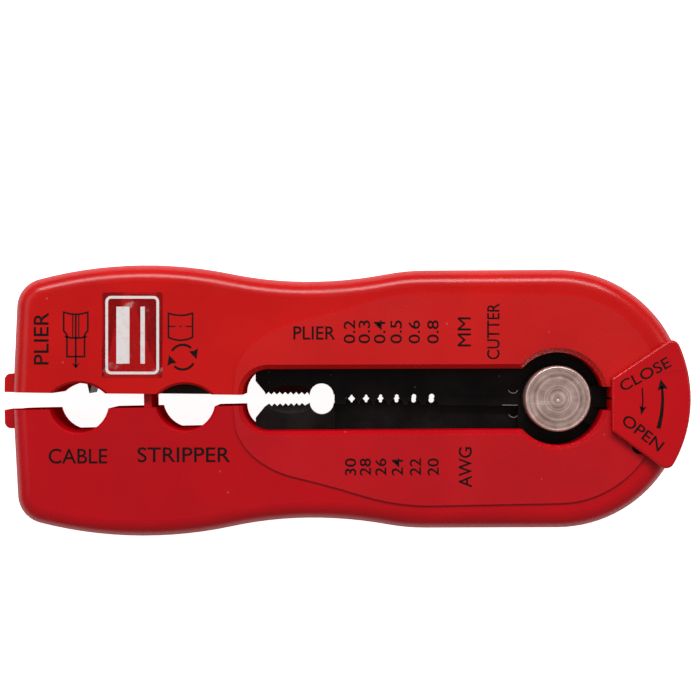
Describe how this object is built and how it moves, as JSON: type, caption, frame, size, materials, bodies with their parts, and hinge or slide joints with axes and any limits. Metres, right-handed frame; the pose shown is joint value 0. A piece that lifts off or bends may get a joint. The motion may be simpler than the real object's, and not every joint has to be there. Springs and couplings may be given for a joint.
{
  "type": "wire stripper",
  "caption": "Compact plastic-bodied wire stripper: two hinged halves with lapped steel stripping blades, serrated jaws, two cable holes with blades, and a rear lock lever.",
  "frame": {"origin": "centre of the object's box, on the plane of the back face that it lies on", "axes": "+X from the head towards the hinge and lock lever, +Y towards the upper half, +Z out of the front face"},
  "size_m": [0.1256, 0.0496, 0.0214],
  "materials": {
    "body_plastic": "glossy border, fine-grained panel",
    "lever_plastic": "satin gloss",
    "blade_steel": "black oxide",
    "cable_blade_steel": "ground",
    "pin_steel": "turned",
    "washer_steel": "black oxide",
    "spring_steel": "drawn wire",
    "screw_steel": "zinc plated",
    "print_ink": "pad print",
    "clear_film": "clear blank label"
  },
  "bodies": {
    "lower_half": {"lower_front_shell": "body_plastic", "lower_back_shell": "body_plastic", "lower_stripping_blade": "blade_steel", "lower_blade_dowels": "screw_steel", "lower_case_screws": "screw_steel", "pivot_pin": "pin_steel", "wave_washer": "spring_steel", "pivot_washer": "washer_steel", "pivot_nut": "pin_steel", "return_spring": "spring_steel"},
    "upper_half": {"upper_front_shell": "body_plastic", "upper_back_shell": "body_plastic", "upper_stripping_blade": "blade_steel", "upper_blade_dowels": "screw_steel", "upper_case_screws": "screw_steel", "slitting_blade": "cable_blade_steel", "ring_blade": "cable_blade_steel", "slitting_blade_pin": "screw_steel", "ring_blade_screw": "screw_steel"},
    "lock_lever": {"lock_lever_cover": "lever_plastic", "lock_plate": "washer_steel", "lock_lever_screw": "screw_steel"}
  },
  "joints": [
    {"name": "squeeze", "type": "hinge", "parent": "lower_half", "child": "upper_half", "pos_m": [0.0388, 0, 0.01], "axis": [0, 0, 1], "range_deg": [0, 1.68], "stiffness_Nm_per_rad": 1, "springref_deg": -5.73, "deforming": ["return_spring"]},
    {"name": "lock_turn", "type": "hinge", "parent": "lower_half", "child": "lock_lever", "pos_m": [0.0388, 0, 0.02], "axis": [0, 0, 1], "range_deg": [0, 10]}
  ]
}
